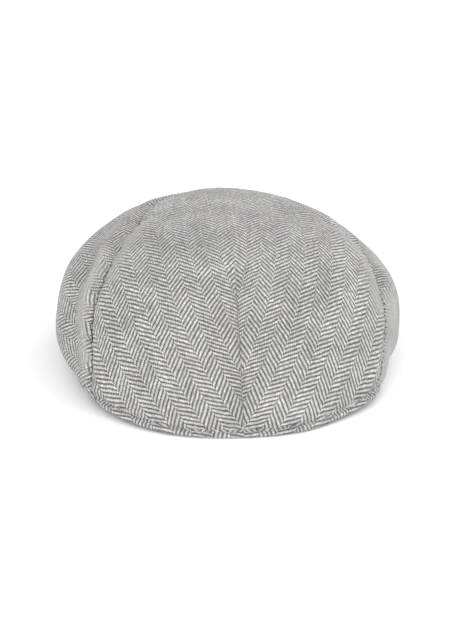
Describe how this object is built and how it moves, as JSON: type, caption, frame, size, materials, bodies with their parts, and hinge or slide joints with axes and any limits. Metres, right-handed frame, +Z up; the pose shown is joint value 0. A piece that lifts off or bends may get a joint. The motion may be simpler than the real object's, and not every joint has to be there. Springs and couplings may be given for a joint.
{
  "type": "duckbill cap",
  "caption": "Soft cloth cap with a full crown, a darted front panel that runs down over a stiff round peak, and side panels that meet at the back.",
  "frame": {"origin": "centre of the cap's footprint on the surface that it rests on", "axes": "+Z up, -Y toward the front of the peak, +X to the right as the cap is seen from the front"},
  "size_m": [0.2461, 0.2778, 0.106],
  "materials": {
    "herringbone_cloth": "woven wool in a light and mid grey herringbone, matt",
    "peak_under_cloth": "the same grey herringbone wool drawn over the peak's board, matt"
  },
  "bodies": {
    "root": {"top_panel": "herringbone_cloth", "side_panel_left": "herringbone_cloth", "side_panel_right": "herringbone_cloth", "peak": "peak_under_cloth"}
  },
  "joints": []
}
